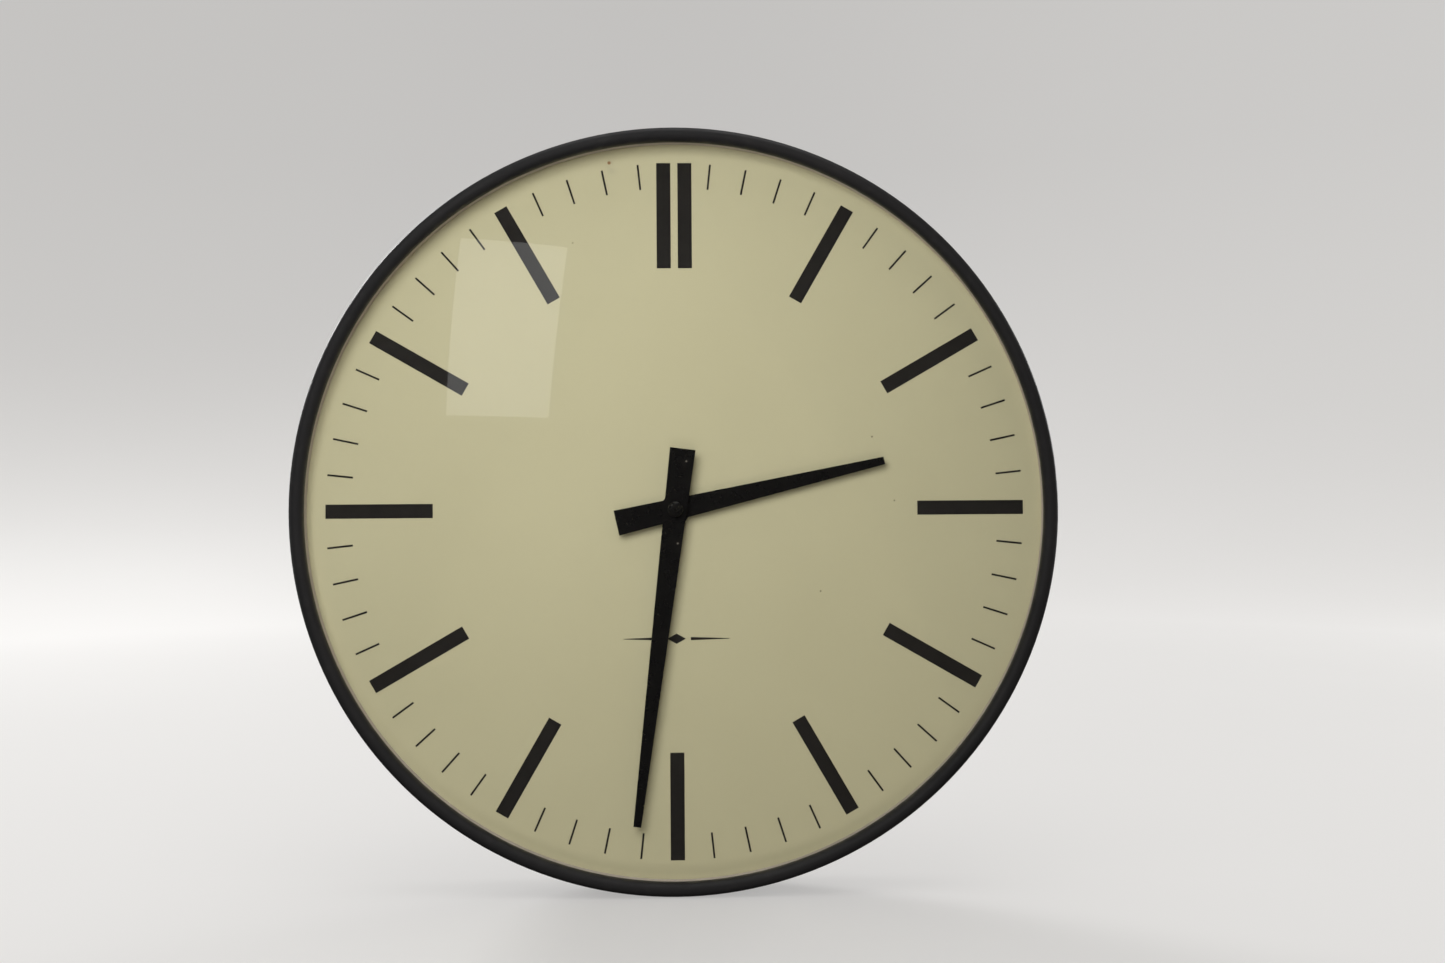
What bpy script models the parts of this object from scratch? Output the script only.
"""Large round wall clock: spun steel case, domed glass, printed dial, flat hands and a quartz movement.

World frame: metres, +Z up, the dial faces -Y and the wall is the plane y = 0. The origin is the point
where the wall screw bears in the hanger's keyhole. Every piece is drawn in the clock's own frame, in
millimetres: x to the right, y towards 12 o'clock, z out from the wall, with the hands' axis at x = y = 0.
The empty clock_axis turns that frame into the world.
"""

import math

import bmesh
import bpy
from mathutils import Matrix

MM = 0.001
FIT_GAP = 0.3
MERGE_DISTANCE = 1e-4
OVERSHOOT = 1.0
HOLE_SIDES = 10

# Case and rim
CLOCK_RADIUS = 265.0
BEAD_INNER_RADIUS = 255.3
BEAD_CENTRE_Z = 49.5
SHEET = 1.2
RING_SEGMENTS = 48
SKIRT_LOW_Z = 35.5
LIP_END_Z = 47.3
CASE_REAR_Z = 4.5
CASE_FRONT_Z = 45.5
CASE_CORNER_RADIUS = 6.0
FLANGE_INNER_RADIUS = 228.0

# Dial stack
DIAL_FRONT_Z = 34.0
DIAL_THICKNESS = 1.0
BOARD_THICKNESS = 3.0
INNER_RING_RADIUS = 257.4
INNER_RING_TOP_Z = 41.8
INNER_RING_WALL = 1.0

# Glass
GLASS_RADIUS = 260.5
GLASS_THICKNESS = 2.6
GLASS_SAGITTA = 27.0
GLASS_STEPS = 5
GASKET_TOP_Z = 47.0
GASKET_INNER_RADIUS = 256.0

# Rear cover and hanging
HANG_DROP = 205.0
PAD_THICKNESS = 2.7
PAD_RADIUS = 9.0
PAD_CHAMFER = 0.8
PAD_X = 110.0
PAD_Y = -200.0
COVER_REAR_Z = 3.0
COVER_RADIUS = 246.0
ACCESS_RADIUS = 45.0
COVER_SCREW_RADIUS = 238.0
COVER_SCREWS = 6
COVER_SCREW_START = math.radians(3.75)
SCREW_SHANK_RADIUS = 1.4
SCREW_HEAD_RADIUS = 3.0
SCREW_CROWN_RADIUS = 2.4
SCREW_HEAD_DEPTH = 1.8
SCREW_CROWN_DEPTH = 0.6
SCREW_POINT_LENGTH = 1.5
COVER_SCREW_LENGTH = 6.8
COVER_WINDOW = ((-9.0, 184.0), (9.0, 210.0))
COVER_WINDOW_CORNER = 3.0
RIVET_X = 20.0
RIVET_Y = 201.0
RIVET_SHANK_RADIUS = 1.7
RIVET_REAR_HEAD = ((0.0, -1.2), (2.2, -1.0), (3.2, 0.0))
RIVET_FRONT_HEAD = ((2.8, 0.0), (2.4, 0.9), (0.0, 0.9))
HANGER_REAR_Z = 4.5
HANGER_THICKNESS = 2.0
HANGER_PLATE = ((-28.0, 180.0), (28.0, 221.0))
HANGER_CORNER = 4.0
KEYHOLE_HEAD_RADIUS = 5.2
KEYHOLE_SLOT_HALF = 2.6
KEYHOLE_LENGTH = 12.0

# Brackets that hold the board
BRACKETS = 4
BRACKET_START = math.radians(48.75)
BRACKET_WIDTH = 16.0
BRACKET_OUTER_RADIUS = 261.4
BRACKET_INNER_RADIUS = 240.0
BRACKET_LOW_Z = 14.0
BRACKET_SHEET = 1.5
BRACKET_SCREW_RADIUS = 247.0
BRACKET_SCREW_LENGTH = 4.4
BRACKET_PILOT_DEPTH = 2.6

# Hands: distances from the axis to tip and tail, and full widths there
MINUTE_TIP = 220.3
MINUTE_TAIL = 42.4
MINUTE_WIDTHS = (17.9, 5.4)
MINUTE_CLOCKWISE = math.radians(187.2)
MINUTE_REAR_Z = 44.0
HOUR_TIP = 149.6
HOUR_TAIL = 42.2
HOUR_WIDTHS = (17.8, 5.4)
HOUR_CLOCKWISE = math.radians(77.2)
HOUR_REAR_Z = 40.6
HAND_THICKNESS = 0.6
MINUTE_BORE = 1.7
MINUTE_COLLET_RADIUS = 5.0
COLLET_SHEET = 0.6
HOUR_BORE = 2.8
HOUR_COLLET_RADIUS = 10.5
HOUR_COLLET_HUB_RADIUS = 4.2
HOUR_COLLET_DEPTH = 1.4
CAP_RADIUS = 5.25
CAP_TOP_Z = 49.3
CAP_SKIN = 1.4

# Movement housing
MOVEMENT_HALF = 28.0
MOVEMENT_FRONT_Z = 28.1
MOVEMENT_REAR_Z = 11.1
MOVEMENT_WALL = 1.5
LID_THICKNESS = 1.2
BAY_SPLIT_Y = -10.3
BATTERY_BAY_TOP_Y = -11.5
HOUSING_CORNER = 3.0
LID_CORNER = 2.0
LID_HOLE_DEPTH = 0.6
ROOF_HOLE_DEPTH = 0.7
BUSH_RADIUS = 3.95
BUSH_BORE = 2.7
BUSH_TOP_Z = 38.6
BUSH_FLANGE_RADIUS = 6.0
BUSH_FLANGE_DEPTH = 0.6
RUBBER_WASHER_RADIUS = 13.0
DIAL_WASHER_RADIUS = 8.0
DIAL_WASHER_DEPTH = 0.6
NUT_RADIUS = 6.9
NUT_DEPTH = 2.5
PLATE_LOW_Z = 20.4
PLATE_HIGH_Z = 21.6
CONTACT_NOTCH_X = 24.8

# Gears. A tooth is (addendum, dedendum) in modules and (root, tip) widths as shares of the pitch.
PINION_TOOTH = (0.75, 1.25, 0.55, 0.24)
WHEEL_TOOTH = (0.95, 1.20, 0.68, 0.22)
TRAIN_MODULE = 0.36
PINION_LEAVES = 6
INTERMEDIATE_TEETH = 30
SECONDS_TEETH = 36
THIRD_TEETH = 45
CENTRE_TEETH = 48
MOTION_MODULE = 0.5
CANNON_TEETH = 12
MOTION_TEETH = 36
HOUR_MODULE = 0.48
HOUR_PINION_TEETH = 10
HOUR_TEETH = 40
PIVOT_RADIUS = 0.5
PIVOT_HOLE = 0.6
PIVOT_LOW_Z = 11.9
PIVOT_HIGH_Z = 21.3
MOTION_PIVOT_RADIUS = 0.6
MOTION_PIVOT_HOLE = 0.8

# Where the wheels stand round each other, and their heights. A pair is (low, high).
TO_THIRD = math.radians(150.0)
TO_SECONDS = math.radians(100.0)
TO_INTERMEDIATE = 0.0
TO_ROTOR = math.radians(20.0)
TO_KNOB = math.radians(-30.0)
ROTOR_SHAFT_RADIUS = 0.62
ROTOR_SHOULDERS = (14.0, 19.5)
ROTOR_LEAVES = (13.0, 14.4)
MAGNET_RADII = (0.92, 3.0)
MAGNET_LEVELS = (15.4, 18.4)
TRAIN_SHAFT_RADIUS = 1.5
SHOULDER_BELOW_DISC = 0.3
SHOULDER_ABOVE_DISC = 0.2
INTERMEDIATE_DISC = (13.3, 14.1)
SECONDS_DISC = (14.9, 15.9)
THIRD_DISC = (16.7, 17.7)
PINION_ABOVE_DISC = 0.6
PINION_DEPTH = 1.4
CENTRE_DISC = (18.5, 19.5)
CENTRE_HUB = (18.4, 20.0)
CENTRE_HUB_RADIUS = 2.4
CENTRE_BORE = 1.5
ARBOR_STEPS = ((PIVOT_RADIUS, PIVOT_LOW_Z), (0.8, 13.5), (1.2, 18.2), (1.45, 22.5), (1.3, 43.0))
ARBOR_TOP_Z = 47.5
CANNON_LEVELS = (22.2, 23.8)
MOTION_SHAFT_RADIUS = 1.4
MOTION_PIVOTS = (20.6, 27.0)
MOTION_SHOULDERS = (22.0, 26.2)
MOTION_DISC = (22.4, 23.6)
HOUR_PINION_LEVELS = (24.0, 25.6)
HOUR_DISC = (24.4, 25.2)
HOUR_PIPE = (24.2, 41.6)
HOUR_PIPE_RADIUS = 2.5
HOUR_PIPE_BORE = 1.75

# Setting knob
KNURLS = 20
KNURL_RADII = (4.2, 4.6)
KNOB_LEVELS = (8.4, 10.8)
KNOB_SHAFT_RADIUS = 1.2
KNOB_SHAFT_LEVELS = (9.5, 24.1)

# Stepper motor and electronics, as (x, y) or (x, y, z) corners
STATOR_LEVELS = (16.4, 17.4)
STATOR_FRAME = ((1.0, 9.0), (21.3, 24.0))
STATOR_WINDOW = ((6.0, 11.5), (18.7, 21.5))
POLE_RADIUS = 5.2
POLE_HOLE = 3.4
SPOOL_CORE = ((17.8, 12.0, 15.5), (22.2, 21.0, 18.3))
SPOOL_FLANGES = (((16.6, 11.8, 13.9), (23.4, 12.8, 19.9)), ((16.6, 20.2, 13.9), (23.4, 21.2, 19.9)))
SPOOL_BORE = ((18.4, 11.0, 16.1), (21.6, 22.0, 17.7))
COIL_SECTION = ((16.9, 14.2), (23.1, 19.6))
COIL_CORNER = 1.5
COIL_ENDS = (13.1, 19.9)
COIL_BORE = ((17.5, 12.5, 15.2), (22.5, 20.5, 18.6))
CIRCUIT_BOARD = ((3.5, -9.2, 13.4), (19.8, 2.5, 14.4))
CRYSTAL_RADIUS = 1.0
CRYSTAL_LENGTH = 6.0
CRYSTAL_AT = (6.0, -5.0, 15.7)
BATTERY_Y = -19.0
BATTERY_Z = 19.2
BATTERY_RADIUS = 7.1
BATTERY_ENDS = (-25.1, 24.2)
BATTERY_NUB_RADIUS = 2.6
BATTERY_NUB_X = 25.3
CONTACT_SHEET = 0.4
CONTACT_LEVELS = (14.7, 20.1)
CONTACT_LOW_Y = -24.0
CONTACT_LEG_Y = -9.9

# Colour (linear RGB), roughness and metallic value of each material
FINISHES = {
    "case_black": ((0.018, 0.018, 0.019), 0.55, 0.0),
    "hand_black": ((0.012, 0.012, 0.013), 0.40, 0.0),
    "glass_clear": ((0.90, 0.93, 0.92), 0.03, 0.0),
    "dial_cream": ((0.56, 0.53, 0.36), 0.45, 0.0),
    "ring_grey": ((0.42, 0.36, 0.33), 0.50, 0.0),
    "rubber_black": ((0.02, 0.02, 0.02), 0.85, 0.0),
    "hardboard": ((0.20, 0.11, 0.055), 0.80, 0.0),
    "zinc_steel": ((0.55, 0.55, 0.56), 0.35, 1.0),
    "brass": ((0.70, 0.50, 0.20), 0.30, 1.0),
    "housing_black": ((0.02, 0.02, 0.022), 0.50, 0.0),
    "gear_white": ((0.75, 0.74, 0.70), 0.50, 0.0),
    "board_green": ((0.03, 0.16, 0.06), 0.50, 0.0),
    "copper_wire": ((0.60, 0.22, 0.10), 0.35, 1.0),
    "magnet_grey": ((0.10, 0.10, 0.11), 0.50, 0.6),
    "battery_wrap": ((0.05, 0.14, 0.32), 0.35, 0.0),
}


def clear_scene():
    for obj in list(bpy.data.objects):
        bpy.data.objects.remove(obj, do_unlink=True)


def make_materials():
    made = {}
    for name, (colour, roughness, metallic) in FINISHES.items():
        material = bpy.data.materials.new(name)
        material.use_nodes = True
        shader = material.node_tree.nodes["Principled BSDF"]
        shader.inputs["Base Color"].default_value = (*colour, 1.0)
        shader.inputs["Roughness"].default_value = roughness
        shader.inputs["Metallic"].default_value = metallic
        made[name] = material
    return made


def make_clock_axis():
    """The empty on the hands' axis, where it meets the wall. Its z axis points at the viewer."""
    empty = bpy.data.objects.new("clock_axis", None)
    empty.location = (0.0, 0.0, -HANG_DROP * MM)
    empty.rotation_euler = (math.pi / 2, 0.0, 0.0)
    bpy.context.scene.collection.objects.link(empty)
    return empty


# Outlines and points


def arc(centre, radius, start, end, steps):
    """Points along an arc, both ends included. Angles are in radians."""
    angles = [start + (end - start) * k / steps for k in range(steps + 1)]
    return [(centre[0] + radius * math.cos(a), centre[1] + radius * math.sin(a)) for a in angles]


def circle(radius, sides, at=(0.0, 0.0)):
    return arc(at, radius, 0.0, math.tau * (sides - 1) / sides, sides - 1)


def rounded_rectangle(low, high, radius, steps=3):
    corners = (
        (high[0] - radius, high[1] - radius, 0.0),
        (low[0] + radius, high[1] - radius, math.pi / 2),
        (low[0] + radius, low[1] + radius, math.pi),
        (high[0] - radius, low[1] + radius, 1.5 * math.pi),
    )
    outline = []
    for x, y, start in corners:
        outline += arc((x, y), radius, start, start + math.pi / 2, steps)
    return outline


def rectangle(low, high):
    return [(low[0], low[1]), (high[0], low[1]), (high[0], high[1]), (low[0], high[1])]


def keyhole_outline():
    """The slot's round top, where the screw bears, then the larger hole below that its head passes."""
    half_mouth = math.asin(KEYHOLE_SLOT_HALF / KEYHOLE_HEAD_RADIUS)
    head_centre = (0.0, HANG_DROP - KEYHOLE_LENGTH)
    slot_top = arc((0.0, HANG_DROP - KEYHOLE_SLOT_HALF), KEYHOLE_SLOT_HALF, 0.0, math.pi, 6)
    mouth = math.pi / 2 + half_mouth
    return slot_top + arc(head_centre, KEYHOLE_HEAD_RADIUS, mouth, math.tau + math.pi - mouth, 12)


def gear_outline(teeth, module, tooth):
    """Straight-sided teeth, the first one centred on +x."""
    addendum, dedendum, root_share, tip_share = tooth
    pitch_radius = teeth * module / 2
    root_radius = pitch_radius - dedendum * module
    tip_radius = pitch_radius + addendum * module
    half_pitch = math.pi / teeth
    outline = []
    for k in range(teeth):
        middle = math.tau * k / teeth
        for radius, share in (
            (root_radius, -root_share),
            (tip_radius, -tip_share),
            (tip_radius, tip_share),
            (root_radius, root_share),
        ):
            angle = middle + share * half_pitch
            outline.append((radius * math.cos(angle), radius * math.sin(angle)))
    return outline


def polar(centre, distance, angle):
    return (centre[0] + distance * math.cos(angle), centre[1] + distance * math.sin(angle))


def centre_distance(teeth_a, teeth_b, module):
    return (teeth_a + teeth_b) * module / 2


def mesh_phase(teeth_a, phase_a, teeth_b, direction):
    """The turn of gear b that sets its gap on gear a's tooth. direction points from a's centre to b's."""
    return direction + math.pi + math.pi / teeth_b - teeth_a / teeth_b * (phase_a - direction)


# Solids, as bmeshes in millimetres


def prism(outline, low, high):
    bm = bmesh.new()
    bottom = [bm.verts.new((x, y, low)) for x, y in outline]
    top = [bm.verts.new((x, y, high)) for x, y in outline]
    bm.faces.new(reversed(bottom))
    bm.faces.new(top)
    for k in range(len(outline)):
        after = (k + 1) % len(outline)
        bm.faces.new((bottom[k], bottom[after], top[after], top[k]))
    bmesh.ops.recalc_face_normals(bm, faces=bm.faces)
    return bm


def cylinder(radius, low, high, sides, at=(0.0, 0.0)):
    return prism(circle(radius, sides, at), low, high)


def box(low, high):
    return prism(rectangle(low, high), low[2], high[2])


def turned(profile, segments):
    """A solid of revolution about z. The profile is a closed loop of (radius, z) points."""
    bm = bmesh.new()
    verts = [bm.verts.new((radius, 0.0, z)) for radius, z in profile]
    edges = []
    for start, end in zip(verts, verts[1:] + verts[:1]):
        if start.co.x or end.co.x:
            edges.append(bm.edges.new((start, end)))
    bmesh.ops.spin(
        bm,
        geom=verts + edges,
        cent=(0.0, 0.0, 0.0),
        axis=(0.0, 0.0, 1.0),
        angle=math.tau,
        steps=segments,
        use_merge=True,
    )
    bmesh.ops.remove_doubles(bm, verts=bm.verts, dist=MERGE_DISTANCE)
    bmesh.ops.recalc_face_normals(bm, faces=bm.faces)
    return bm


def ring(inner, outer, low, high, segments):
    return turned([(inner, low), (outer, low), (outer, high), (inner, high)], segments)


def rotated(bm, angle, axis):
    bmesh.ops.rotate(bm, verts=bm.verts, cent=(0.0, 0.0, 0.0), matrix=Matrix.Rotation(angle, 3, axis))
    return bm


def moved(bm, offset):
    bmesh.ops.translate(bm, verts=bm.verts, vec=offset)
    return bm


def combined(base, others, operation):
    """base with the others joined to it (UNION) or cut from it (DIFFERENCE)."""
    work = []
    for shape in (base, *others):
        mesh = bpy.data.meshes.new("work")
        shape.to_mesh(mesh)
        shape.free()
        obj = bpy.data.objects.new("work", mesh)
        bpy.context.scene.collection.objects.link(obj)
        work.append(obj)
    for other in work[1:]:
        modifier = work[0].modifiers.new("combine", "BOOLEAN")
        modifier.operation = operation
        modifier.solver = "EXACT"
        modifier.object = other
    result = bmesh.new()
    result.from_object(work[0], bpy.context.evaluated_depsgraph_get())
    for obj in work:
        bpy.data.meshes.remove(obj.data)
    return result


def joined(*shapes):
    return combined(shapes[0], shapes[1:], "UNION")


def cut(base, *cutters):
    return combined(base, cutters, "DIFFERENCE")


class Workshop:
    """Holds the materials and the parent empty, and turns drawn shapes into named objects."""

    def __init__(self):
        self.materials = make_materials()
        self.axis = make_clock_axis()

    def add(self, name, bm, finish, at=(0.0, 0.0), turn=0.0, smooth=35.0):
        bmesh.ops.scale(bm, vec=(MM, MM, MM), verts=bm.verts)
        mesh = bpy.data.meshes.new(name)
        bm.to_mesh(mesh)
        bm.free()
        mesh.materials.append(self.materials[finish])
        mesh.shade_smooth()
        mesh.set_sharp_from_angle(angle=math.radians(smooth))
        obj = bpy.data.objects.new(name, mesh)
        obj.parent = self.axis
        obj.location = (at[0] * MM, at[1] * MM, 0.0)
        obj.rotation_euler = (0.0, 0.0, turn)
        bpy.context.scene.collection.objects.link(obj)
        return obj


# Case


def screw_places():
    """Centres of the rear cover's screws, clear of the hanger at the top."""
    angles = [COVER_SCREW_START + math.tau * k / COVER_SCREWS for k in range(COVER_SCREWS)]
    return [polar((0.0, 0.0), COVER_SCREW_RADIUS, angle) for angle in angles]


def screw_holes(low, high):
    radius = SCREW_SHANK_RADIUS + FIT_GAP
    return [cylinder(radius, low, high, HOLE_SIDES, at) for at in screw_places()]


def screw(head_top, length):
    """A pan-head screw whose head sits under head_top and whose point is length above it."""
    shank_end = head_top + length - SCREW_POINT_LENGTH
    profile = [
        (0.0, head_top - SCREW_HEAD_DEPTH),
        (SCREW_CROWN_RADIUS, head_top - SCREW_HEAD_DEPTH),
        (SCREW_HEAD_RADIUS, head_top - SCREW_HEAD_DEPTH + SCREW_CROWN_DEPTH),
        (SCREW_HEAD_RADIUS, head_top),
        (SCREW_SHANK_RADIUS, head_top),
        (SCREW_SHANK_RADIUS, shank_end),
        (0.0, head_top + length),
    ]
    return turned(profile, HOLE_SIDES)


def make_case_shell(shop):
    outer = CLOCK_RADIUS - SHEET - FIT_GAP
    inner = outer - SHEET
    corner = (outer - CASE_CORNER_RADIUS, CASE_REAR_Z + CASE_CORNER_RADIUS)
    profile = [(FLANGE_INNER_RADIUS, CASE_REAR_Z)]
    profile += arc(corner, CASE_CORNER_RADIUS, -math.pi / 2, 0.0, 3)
    profile += [(outer, CASE_FRONT_Z), (inner, CASE_FRONT_Z)]
    profile += arc(corner, CASE_CORNER_RADIUS - SHEET, 0.0, -math.pi / 2, 3)
    profile += [(FLANGE_INNER_RADIUS, CASE_REAR_Z + SHEET)]
    holes = screw_holes(CASE_REAR_Z - OVERSHOOT, CASE_REAR_Z + SHEET + OVERSHOOT)
    shell = cut(turned(profile, RING_SEGMENTS), *holes)
    shop.add("case_shell", shell, "case_black")


def make_bezel(shop):
    bead_radius = (CLOCK_RADIUS - BEAD_INNER_RADIUS) / 2
    centre = (CLOCK_RADIUS - bead_radius, BEAD_CENTRE_Z)
    profile = [(CLOCK_RADIUS, SKIRT_LOW_Z)]
    profile += arc(centre, bead_radius, 0.0, math.pi, 4)
    profile += [(BEAD_INNER_RADIUS, LIP_END_Z), (BEAD_INNER_RADIUS + SHEET, LIP_END_Z)]
    profile += arc(centre, bead_radius - SHEET, math.pi, 0.0, 2)
    profile += [(CLOCK_RADIUS - SHEET, SKIRT_LOW_Z)]
    shop.add("bezel", turned(profile, RING_SEGMENTS), "case_black")


def dome_height(radius):
    """Height of the glass's surface over its own edge."""
    sphere = (GLASS_RADIUS**2 + GLASS_SAGITTA**2) / (2 * GLASS_SAGITTA)
    return math.sqrt(sphere**2 - radius**2) - math.sqrt(sphere**2 - GLASS_RADIUS**2)


def make_glass(shop):
    seat = INNER_RING_TOP_Z + FIT_GAP
    radii = [GLASS_RADIUS * k / GLASS_STEPS for k in range(GLASS_STEPS + 1)]
    rear = [(r, seat + dome_height(r)) for r in radii]
    front = [(r, seat + GLASS_THICKNESS + dome_height(r)) for r in reversed(radii)]
    shop.add("glass_lens", turned(rear + front, RING_SEGMENTS), "glass_clear")


def make_gasket(shop):
    seat = INNER_RING_TOP_Z + FIT_GAP
    groove = GLASS_RADIUS + FIT_GAP
    outer = CLOCK_RADIUS - 2 * SHEET - 2 * FIT_GAP
    over_glass = seat + GLASS_THICKNESS + FIT_GAP
    profile = [
        (groove, seat),
        (outer, seat),
        (outer, GASKET_TOP_Z),
        (GASKET_INNER_RADIUS, GASKET_TOP_Z),
        (GASKET_INNER_RADIUS, over_glass + dome_height(GASKET_INNER_RADIUS)),
        (groove, over_glass + dome_height(groove)),
    ]
    shop.add("lens_gasket", turned(profile, RING_SEGMENTS), "rubber_black")


def stack_radius():
    """Outer radius of the plates that drop into the case."""
    return CLOCK_RADIUS - 2 * SHEET - 2.5 * FIT_GAP


def make_inner_ring(shop):
    foot = DIAL_FRONT_Z + FIT_GAP
    wall_outer = INNER_RING_RADIUS + INNER_RING_WALL
    profile = [
        (INNER_RING_RADIUS, foot),
        (wall_outer, foot),
        (wall_outer, INNER_RING_TOP_Z - INNER_RING_WALL),
        (stack_radius(), INNER_RING_TOP_Z - INNER_RING_WALL),
        (stack_radius(), INNER_RING_TOP_Z),
        (INNER_RING_RADIUS, INNER_RING_TOP_Z),
    ]
    shop.add("inner_ring", turned(profile, RING_SEGMENTS), "ring_grey")


# Dial, backing board and its brackets


def board_front_z():
    return DIAL_FRONT_Z - DIAL_THICKNESS - FIT_GAP


def board_rear_z():
    return board_front_z() - BOARD_THICKNESS


def make_dial(shop):
    hole = BUSH_RADIUS + FIT_GAP
    plate = ring(hole, stack_radius(), DIAL_FRONT_Z - DIAL_THICKNESS, DIAL_FRONT_Z, RING_SEGMENTS)
    shop.add("dial_plate", plate, "dial_cream")


def bracket_angle(number):
    return BRACKET_START + math.tau * number / BRACKETS


def make_board(shop):
    low = board_rear_z()
    board = ring(BUSH_RADIUS + 2 * FIT_GAP, stack_radius(), low, board_front_z(), RING_SEGMENTS)
    pilots = []
    for k in range(BRACKETS):
        at = polar((0.0, 0.0), BRACKET_SCREW_RADIUS, bracket_angle(k))
        radius = SCREW_SHANK_RADIUS + FIT_GAP
        pilots.append(cylinder(radius, low - OVERSHOOT, low + BRACKET_PILOT_DEPTH, HOLE_SIDES, at))
    shop.add("dial_backing_board", cut(board, *pilots), "hardboard")


def make_brackets(shop):
    """L brackets spot-welded to the case wall. A screw through each foot holds the board."""
    foot_high = board_rear_z() - FIT_GAP
    foot_low = foot_high - BRACKET_SHEET
    wall = BRACKET_OUTER_RADIUS - BRACKET_SHEET
    outline = [
        (BRACKET_INNER_RADIUS, foot_low),
        (wall, foot_low),
        (wall, BRACKET_LOW_Z),
        (BRACKET_OUTER_RADIUS, BRACKET_LOW_Z),
        (BRACKET_OUTER_RADIUS, foot_high),
        (BRACKET_INNER_RADIUS, foot_high),
    ]
    bore = SCREW_SHANK_RADIUS + FIT_GAP
    hole_at = (BRACKET_SCREW_RADIUS, 0.0)
    for k in range(BRACKETS):
        angle = bracket_angle(k)
        bracket = rotated(prism(outline, -BRACKET_WIDTH / 2, BRACKET_WIDTH / 2), math.pi / 2, "X")
        hole = cylinder(bore, foot_low - OVERSHOOT, foot_high + OVERSHOOT, HOLE_SIDES, hole_at)
        shop.add(f"board_bracket_{k + 1}", cut(bracket, hole), "zinc_steel", turn=angle)
        at = polar((0.0, 0.0), BRACKET_SCREW_RADIUS, angle)
        fixing = screw(foot_low - FIT_GAP, BRACKET_SCREW_LENGTH)
        shop.add(f"bracket_screw_{k + 1}", fixing, "zinc_steel", at)


# Rear cover, hanger and pads


def rivet_holes(low, high):
    radius = RIVET_SHANK_RADIUS + FIT_GAP
    return [cylinder(radius, low, high, HOLE_SIDES, (x, RIVET_Y)) for x in (-RIVET_X, RIVET_X)]


def make_rear_cover(shop):
    high = COVER_REAR_Z + SHEET
    cover = ring(ACCESS_RADIUS, COVER_RADIUS, COVER_REAR_Z, high, RING_SEGMENTS)
    window = rounded_rectangle(*COVER_WINDOW, COVER_WINDOW_CORNER)
    cutters = [prism(window, COVER_REAR_Z - OVERSHOOT, high + OVERSHOOT)]
    cutters += screw_holes(COVER_REAR_Z - OVERSHOOT, high + OVERSHOOT)
    cutters += rivet_holes(COVER_REAR_Z - OVERSHOOT, high + OVERSHOOT)
    shop.add("rear_cover", cut(cover, *cutters), "case_black")


def make_cover_screws(shop):
    for k, at in enumerate(screw_places()):
        fixing = screw(COVER_REAR_Z - FIT_GAP, COVER_SCREW_LENGTH)
        shop.add(f"cover_screw_{k + 1}", fixing, "zinc_steel", at)


def make_hanger(shop):
    high = HANGER_REAR_Z + HANGER_THICKNESS
    plate = prism(rounded_rectangle(*HANGER_PLATE, HANGER_CORNER), HANGER_REAR_Z, high)
    cutters = [prism(keyhole_outline(), HANGER_REAR_Z - OVERSHOOT, high + OVERSHOOT)]
    cutters += rivet_holes(HANGER_REAR_Z - OVERSHOOT, high + OVERSHOOT)
    shop.add("hanger_plate", cut(plate, *cutters), "zinc_steel")
    rear_head = COVER_REAR_Z - FIT_GAP
    front_head = high + FIT_GAP
    rivet = [(radius, rear_head + rise) for radius, rise in RIVET_REAR_HEAD]
    rivet += [(RIVET_SHANK_RADIUS, rear_head), (RIVET_SHANK_RADIUS, front_head)]
    rivet += [(radius, front_head + rise) for radius, rise in RIVET_FRONT_HEAD]
    for side, x in (("left", -RIVET_X), ("right", RIVET_X)):
        shop.add(f"hanger_rivet_{side}", turned(rivet, 12), "zinc_steel", (x, RIVET_Y))


def make_wall_pads(shop):
    profile = [
        (0.0, 0.0),
        (PAD_RADIUS - PAD_CHAMFER, 0.0),
        (PAD_RADIUS, PAD_CHAMFER),
        (PAD_RADIUS, PAD_THICKNESS),
        (0.0, PAD_THICKNESS),
    ]
    for side, x in (("left", -PAD_X), ("right", PAD_X)):
        shop.add(f"wall_pad_{side}", turned(profile, 20), "rubber_black", (x, PAD_Y))


# Hands


def hand_plate(tip, tail, widths, rear_z, hole):
    """A flat blade, square at both ends, that narrows evenly from its tail to its tip."""
    tail_half = widths[0] / 2
    tip_half = widths[1] / 2
    outline = [(-tail_half, -tail), (tail_half, -tail), (tip_half, tip), (-tip_half, tip)]
    blade = prism(outline, rear_z, rear_z + HAND_THICKNESS)
    return cut(blade, cylinder(hole, rear_z - OVERSHOOT, rear_z + HAND_THICKNESS + OVERSHOOT, 20))


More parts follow.
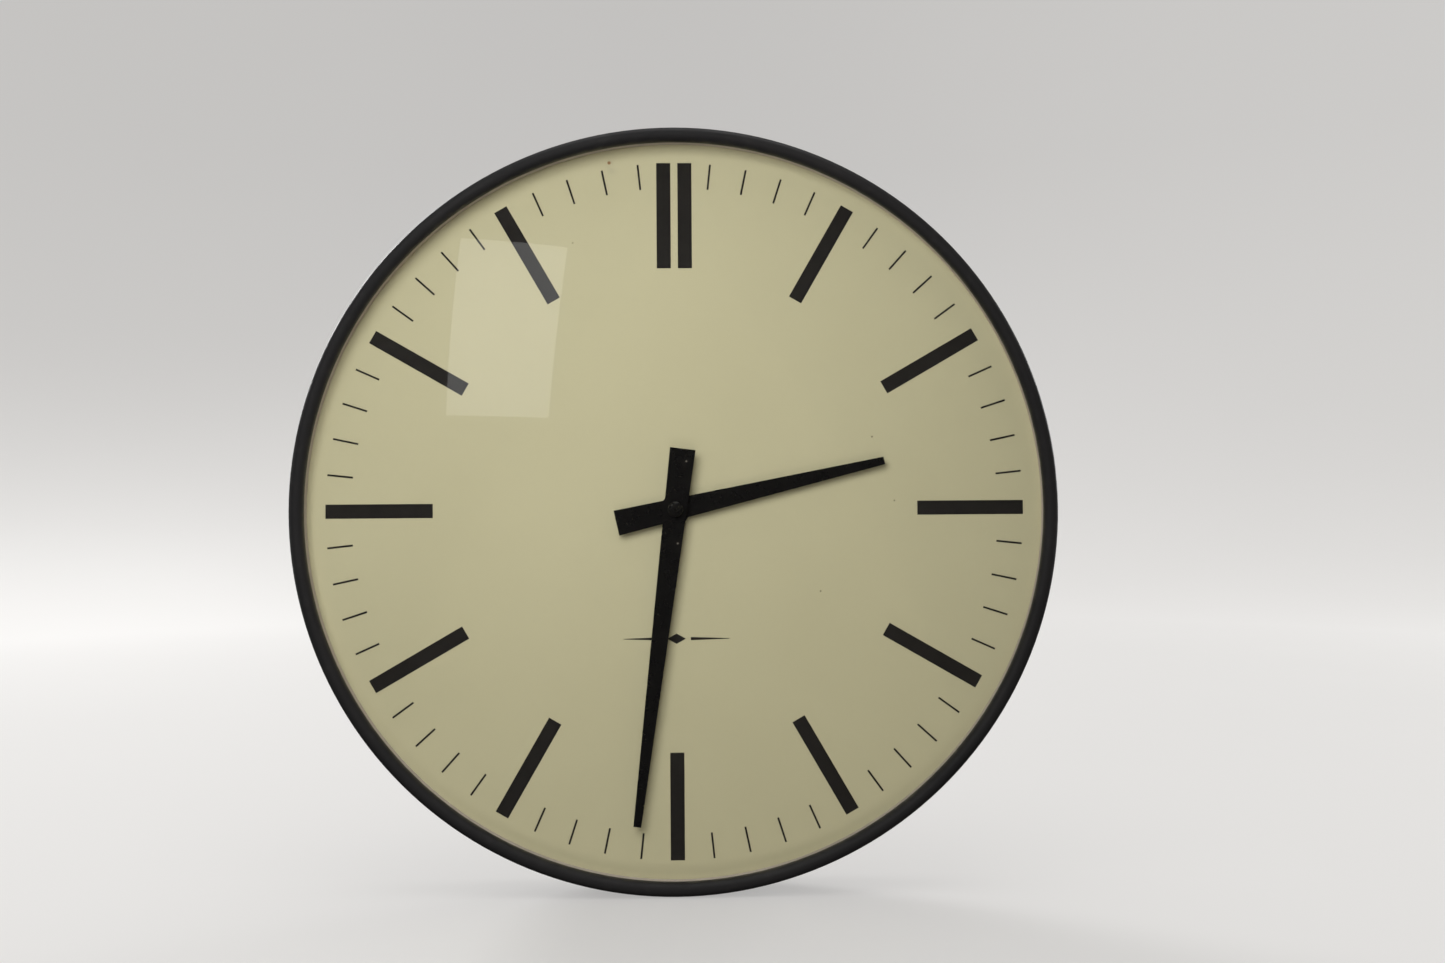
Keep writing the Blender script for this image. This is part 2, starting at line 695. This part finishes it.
def make_hands(shop):
    minute = hand_plate(MINUTE_TIP, MINUTE_TAIL, MINUTE_WIDTHS, MINUTE_REAR_Z, MINUTE_BORE)
    shop.add("minute_hand", minute, "hand_black", turn=-MINUTE_CLOCKWISE)
    hour = hand_plate(HOUR_TIP, HOUR_TAIL, HOUR_WIDTHS, HOUR_REAR_Z, HOUR_BORE)
    shop.add("hour_hand", hour, "hand_black", turn=-HOUR_CLOCKWISE)
    high = MINUTE_REAR_Z - FIT_GAP
    minute_collet = ring(MINUTE_BORE, MINUTE_COLLET_RADIUS, high - COLLET_SHEET, high, 20)
    shop.add("minute_hand_collet", minute_collet, "hand_black")
    high = HOUR_REAR_Z - FIT_GAP
    hour_collet = [
        (HOUR_BORE, high - HOUR_COLLET_DEPTH),
        (HOUR_COLLET_HUB_RADIUS, high - HOUR_COLLET_DEPTH),
        (HOUR_COLLET_HUB_RADIUS, high - COLLET_SHEET),
        (HOUR_COLLET_RADIUS, high - COLLET_SHEET),
        (HOUR_COLLET_RADIUS, high),
        (HOUR_BORE, high),
    ]
    shop.add("hour_hand_collet", turned(hour_collet, 24), "hand_black")
    low = MINUTE_REAR_Z + HAND_THICKNESS + FIT_GAP
    cap = [
        (MINUTE_BORE, low),
        (CAP_RADIUS, low),
        (CAP_RADIUS, CAP_TOP_Z - 1.6),
        (CAP_RADIUS - 0.6, CAP_TOP_Z - 0.6),
        (CAP_RADIUS - 2.0, CAP_TOP_Z - 0.1),
        (0.0, CAP_TOP_Z),
        (0.0, CAP_TOP_Z - CAP_SKIN),
        (MINUTE_BORE, CAP_TOP_Z - CAP_SKIN),
    ]
    shop.add("cap_nut", turned(cap, 24), "hand_black")


# Movement: where each wheel stands, and how far it is turned so that its teeth mesh at rest


class Layout:
    """Centres and rest turns of the wheels. The minute arbor is at the origin and unturned."""

    def __init__(self):
        leaves = PINION_LEAVES
        module = TRAIN_MODULE
        self.third = polar((0.0, 0.0), centre_distance(CENTRE_TEETH, leaves, module), TO_THIRD)
        self.seconds = polar(self.third, centre_distance(THIRD_TEETH, leaves, module), TO_SECONDS)
        reach = centre_distance(SECONDS_TEETH, leaves, module)
        self.intermediate = polar(self.seconds, reach, TO_INTERMEDIATE)
        reach = centre_distance(INTERMEDIATE_TEETH, leaves, module)
        self.rotor = polar(self.intermediate, reach, TO_ROTOR)
        self.third_turn = mesh_phase(CENTRE_TEETH, 0.0, leaves, TO_THIRD)
        self.seconds_turn = mesh_phase(THIRD_TEETH, self.third_turn, leaves, TO_SECONDS)
        self.intermediate_turn = mesh_phase(SECONDS_TEETH, self.seconds_turn, leaves, TO_INTERMEDIATE)
        self.rotor_turn = mesh_phase(INTERMEDIATE_TEETH, self.intermediate_turn, leaves, TO_ROTOR)
        reach = centre_distance(CANNON_TEETH, MOTION_TEETH, MOTION_MODULE)
        self.motion = (reach, 0.0)
        self.knob = polar(self.motion, reach, TO_KNOB)
        self.motion_turn = mesh_phase(CANNON_TEETH, 0.0, MOTION_TEETH, 0.0)
        self.hour_turn = mesh_phase(HOUR_PINION_TEETH, self.motion_turn, HOUR_TEETH, math.pi)
        self.knob_turn = mesh_phase(MOTION_TEETH, self.motion_turn, CANNON_TEETH, TO_KNOB)

    def train_pivots(self):
        return (self.third, self.seconds, self.intermediate, self.rotor)


def make_movement_housing(shop, layout):
    half = MOVEMENT_HALF
    inside = half - MOVEMENT_WALL
    shell_low = MOVEMENT_REAR_Z + LID_THICKNESS + FIT_GAP
    roof = MOVEMENT_FRONT_Z - MOVEMENT_WALL
    outline = rounded_rectangle((-half, -half), (half, half), HOUSING_CORNER)
    body = prism(outline, shell_low, MOVEMENT_FRONT_Z)
    below = shell_low - OVERSHOOT
    cutters = [
        box((-inside, BAY_SPLIT_Y, below), (inside, inside, roof)),
        box((-inside, -inside, below), (inside, BATTERY_BAY_TOP_Y, roof)),
        cylinder(BUSH_RADIUS + FIT_GAP, roof - OVERSHOOT, MOVEMENT_FRONT_Z + OVERSHOOT, 16),
        cylinder(MOTION_PIVOT_HOLE, roof - OVERSHOOT, roof + ROOF_HOLE_DEPTH, HOLE_SIDES, layout.motion),
    ]
    for side in (-1, 1):
        across = sorted((side * CONTACT_NOTCH_X, side * inside))
        notch_low = (across[0], BATTERY_BAY_TOP_Y - OVERSHOOT, below)
        notch_high = (across[1], BAY_SPLIT_Y + OVERSHOOT, roof)
        cutters.append(box(notch_low, notch_high))
    shop.add("movement_front_housing", cut(body, *cutters), "housing_black")
    lid_high = MOVEMENT_REAR_Z + LID_THICKNESS
    lid_outline = rounded_rectangle((-half, BATTERY_BAY_TOP_Y), (half, half), LID_CORNER)
    lid = prism(lid_outline, MOVEMENT_REAR_Z, lid_high)
    low = MOVEMENT_REAR_Z - OVERSHOOT
    high = lid_high + OVERSHOOT
    cutters = [cylinder(KNOB_SHAFT_RADIUS + FIT_GAP, low, high, 12, layout.knob)]
    for at in ((0.0, 0.0), *layout.train_pivots()):
        cutters.append(cylinder(PIVOT_HOLE, lid_high - LID_HOLE_DEPTH, high, HOLE_SIDES, at))
    shop.add("movement_rear_housing", cut(lid, *cutters), "housing_black")


def make_middle_plate(shop, layout):
    inside = MOVEMENT_HALF - MOVEMENT_WALL - FIT_GAP
    outline = rectangle((-inside, BAY_SPLIT_Y + FIT_GAP), (inside, inside))
    plate = prism(outline, PLATE_LOW_Z, PLATE_HIGH_Z)
    holes = [(PIVOT_HOLE, at) for at in layout.train_pivots()]
    holes += [
        (KNOB_SHAFT_RADIUS + FIT_GAP, (0.0, 0.0)),
        (KNOB_SHAFT_RADIUS + FIT_GAP, layout.knob),
        (MOTION_PIVOT_HOLE, layout.motion),
    ]
    low = PLATE_LOW_Z - OVERSHOOT
    high = PLATE_HIGH_Z + OVERSHOOT
    cutters = [cylinder(radius, low, high, HOLE_SIDES, at) for radius, at in holes]
    shop.add("middle_plate", cut(plate, *cutters), "gear_white")


def make_dial_fixing(shop):
    """Bush, washers and nut that clamp the dial and its board to the movement."""
    flange_high = MOVEMENT_FRONT_Z - MOVEMENT_WALL - FIT_GAP
    flange_low = flange_high - BUSH_FLANGE_DEPTH
    bush = [
        (BUSH_BORE, flange_low),
        (BUSH_FLANGE_RADIUS, flange_low),
        (BUSH_FLANGE_RADIUS, flange_high),
        (BUSH_RADIUS, flange_high),
        (BUSH_RADIUS, BUSH_TOP_Z),
        (BUSH_BORE, BUSH_TOP_Z),
    ]
    shop.add("mounting_bush", turned(bush, 16), "brass")
    hole = BUSH_RADIUS + FIT_GAP
    rubber_low = MOVEMENT_FRONT_Z + FIT_GAP
    rubber_high = board_rear_z() - FIT_GAP
    rubber = ring(hole, RUBBER_WASHER_RADIUS, rubber_low, rubber_high, 16)
    shop.add("rubber_washer", rubber, "rubber_black")
    washer_low = DIAL_FRONT_Z + FIT_GAP
    washer_high = washer_low + DIAL_WASHER_DEPTH
    shop.add("dial_washer", ring(hole, DIAL_WASHER_RADIUS, washer_low, washer_high, 16), "brass")
    low = washer_high + FIT_GAP
    high = low + NUT_DEPTH
    nut = cut(cylinder(NUT_RADIUS, low, high, 6), cylinder(hole, low - OVERSHOOT, high + OVERSHOOT, 16))
    shop.add("mounting_nut", nut, "brass")


def shaft(steps, top, sides=10):
    """A turned shaft. Each step is (radius, height where that radius starts)."""
    profile = [(0.0, steps[0][1])]
    ends = [low for radius, low in steps[1:]] + [top]
    for (radius, low), high in zip(steps, ends):
        profile += [(radius, low), (radius, high)]
    profile.append((0.0, top))
    return turned(profile, sides)


def arbor(radius, shoulders):
    """A shaft of the train, with a thin pivot at each end."""
    steps = ((PIVOT_RADIUS, PIVOT_LOW_Z), (radius, shoulders[0]), (PIVOT_RADIUS, shoulders[1]))
    return shaft(steps, PIVOT_HIGH_Z)


def gear(teeth, module, tooth, levels):
    return prism(gear_outline(teeth, module, tooth), *levels)


def leaves(levels):
    """The leaves of a train pinion."""
    return gear(PINION_LEAVES, TRAIN_MODULE, PINION_TOOTH, levels)


def make_train(shop, layout):
    """Rotor pinion 6 to 30, 6 to 36, 6 to 45 and 6 to 48: 30 to 1 at the seconds wheel, then 60 to 1."""
    rotor = joined(arbor(ROTOR_SHAFT_RADIUS, ROTOR_SHOULDERS), leaves(ROTOR_LEAVES))
    shop.add("rotor_pinion", rotor, "gear_white", layout.rotor, layout.rotor_turn)
    shop.add("rotor_magnet", ring(*MAGNET_RADII, *MAGNET_LEVELS, 16), "magnet_grey", layout.rotor)
    intermediate = (layout.intermediate, layout.intermediate_turn)
    wheels = (
        ("intermediate_wheel", INTERMEDIATE_TEETH, INTERMEDIATE_DISC, intermediate),
        ("seconds_wheel", SECONDS_TEETH, SECONDS_DISC, (layout.seconds, layout.seconds_turn)),
        ("third_wheel", THIRD_TEETH, THIRD_DISC, (layout.third, layout.third_turn)),
    )
    for name, teeth, disc, place in wheels:
        pinion_low = disc[1] + PINION_ABOVE_DISC
        wheel = joined(
            arbor(TRAIN_SHAFT_RADIUS, (disc[0] - SHOULDER_BELOW_DISC, disc[1] + SHOULDER_ABOVE_DISC)),
            gear(teeth, TRAIN_MODULE, WHEEL_TOOTH, disc),
            leaves((pinion_low, pinion_low + PINION_DEPTH)),
        )
        shop.add(name, wheel, "gear_white", *place)
    solid = joined(
        gear(CENTRE_TEETH, TRAIN_MODULE, WHEEL_TOOTH, CENTRE_DISC),
        cylinder(CENTRE_HUB_RADIUS, *CENTRE_HUB, 16),
    )
    bore = cylinder(CENTRE_BORE, CENTRE_HUB[0] - OVERSHOOT, CENTRE_HUB[1] + OVERSHOOT, 16)
    shop.add("centre_wheel", cut(solid, bore), "gear_white")


def make_motion_work(shop, layout):
    """Minute arbor 12 to 36 and 10 to 40: the hour wheel turns once in twelve turns of the arbor."""
    cannon = gear(CANNON_TEETH, MOTION_MODULE, PINION_TOOTH, CANNON_LEVELS)
    shop.add("minute_arbor", joined(shaft(ARBOR_STEPS, ARBOR_TOP_Z, 16), cannon), "brass")
    steps = (
        (MOTION_PIVOT_RADIUS, MOTION_PIVOTS[0]),
        (MOTION_SHAFT_RADIUS, MOTION_SHOULDERS[0]),
        (MOTION_PIVOT_RADIUS, MOTION_SHOULDERS[1]),
    )
    motion = joined(
        shaft(steps, MOTION_PIVOTS[1]),
        gear(MOTION_TEETH, MOTION_MODULE, WHEEL_TOOTH, MOTION_DISC),
        gear(HOUR_PINION_TEETH, HOUR_MODULE, PINION_TOOTH, HOUR_PINION_LEVELS),
    )
    shop.add("motion_wheel", motion, "gear_white", layout.motion, layout.motion_turn)
    solid = joined(
        gear(HOUR_TEETH, HOUR_MODULE, WHEEL_TOOTH, HOUR_DISC),
        cylinder(HOUR_PIPE_RADIUS, *HOUR_PIPE, 20),
    )
    bore = cylinder(HOUR_PIPE_BORE, HOUR_PIPE[0] - OVERSHOOT, HOUR_PIPE[1] + OVERSHOOT, 20)
    shop.add("hour_wheel", cut(solid, bore), "gear_white", turn=layout.hour_turn)


def make_setting(shop, layout):
    """The knob behind the movement, and the pinion on its shaft that turns the motion wheel."""
    knurl = []
    for k in range(2 * KNURLS):
        knurl.append(polar((0.0, 0.0), KNURL_RADII[(k + 1) % 2], math.pi * k / KNURLS))
    knob = joined(prism(knurl, *KNOB_LEVELS), cylinder(KNOB_SHAFT_RADIUS, *KNOB_SHAFT_LEVELS, 12))
    shop.add("setting_knob", knob, "housing_black", layout.knob)
    low, high = CANNON_LEVELS
    bore = cylinder(KNOB_SHAFT_RADIUS + FIT_GAP, low - OVERSHOOT, high + OVERSHOOT, 12)
    pinion = cut(gear(CANNON_TEETH, MOTION_MODULE, PINION_TOOTH, CANNON_LEVELS), bore)
    shop.add("setting_pinion", pinion, "gear_white", layout.knob, layout.knob_turn)


def make_stepper(shop, layout):
    """Stator plate with the rotor's hole. The coil sits on its far bar."""
    low, high = STATOR_LEVELS
    window = prism(rectangle(*STATOR_WINDOW), low - OVERSHOOT, high + OVERSHOOT)
    frame = cut(prism(rectangle(*STATOR_FRAME), low, high), window)
    pole = cylinder(POLE_RADIUS, low, high, 20, layout.rotor)
    hole = cylinder(POLE_HOLE, low - OVERSHOOT, high + OVERSHOOT, 20, layout.rotor)
    shop.add("stator", cut(joined(frame, pole), hole), "zinc_steel")
    spool = joined(box(*SPOOL_CORE), *(box(*flange) for flange in SPOOL_FLANGES))
    shop.add("coil_bobbin", cut(spool, box(*SPOOL_BORE)), "gear_white")
    (left, rear), (right, front) = COIL_SECTION
    section = rounded_rectangle((left, -front), (right, -rear), COIL_CORNER, 2)
    winding = rotated(prism(section, *COIL_ENDS), -math.pi / 2, "X")
    shop.add("coil_winding", cut(winding, box(*COIL_BORE)), "copper_wire")


def make_electronics(shop):
    shop.add("circuit_board", box(*CIRCUIT_BOARD), "board_green")
    can = rotated(cylinder(CRYSTAL_RADIUS, 0.0, CRYSTAL_LENGTH, 12), math.pi / 2, "Y")
    shop.add("quartz_crystal", moved(can, CRYSTAL_AT), "zinc_steel")
    steps = ((BATTERY_RADIUS, BATTERY_ENDS[0]), (BATTERY_NUB_RADIUS, BATTERY_ENDS[1]))
    cell = rotated(shaft(steps, BATTERY_NUB_X, 24), math.pi / 2, "Y")
    shop.add("battery", moved(cell, (0.0, BATTERY_Y, BATTERY_Z)), "battery_wrap")
    outer = MOVEMENT_HALF - MOVEMENT_WALL - FIT_GAP
    for name, side, leg_end in (("positive", 1.0, 12.0), ("negative", -1.0, -6.0)):
        outline = [
            (side * outer, CONTACT_LOW_Y),
            (side * outer, CONTACT_LEG_Y + CONTACT_SHEET),
            (leg_end, CONTACT_LEG_Y + CONTACT_SHEET),
            (leg_end, CONTACT_LEG_Y),
            (side * (outer - CONTACT_SHEET), CONTACT_LEG_Y),
            (side * (outer - CONTACT_SHEET), CONTACT_LOW_Y),
        ]
        shop.add(f"battery_contact_{name}", prism(outline, *CONTACT_LEVELS), "zinc_steel")


def main():
    clear_scene()
    shop = Workshop()
    layout = Layout()
    make_case_shell(shop)
    make_bezel(shop)
    make_glass(shop)
    make_gasket(shop)
    make_inner_ring(shop)
    make_dial(shop)
    make_board(shop)
    make_brackets(shop)
    make_rear_cover(shop)
    make_cover_screws(shop)
    make_hanger(shop)
    make_wall_pads(shop)
    make_hands(shop)
    make_movement_housing(shop, layout)
    make_middle_plate(shop, layout)
    make_dial_fixing(shop)
    make_train(shop, layout)
    make_motion_work(shop, layout)
    make_setting(shop, layout)
    make_stepper(shop, layout)
    make_electronics(shop)


main()
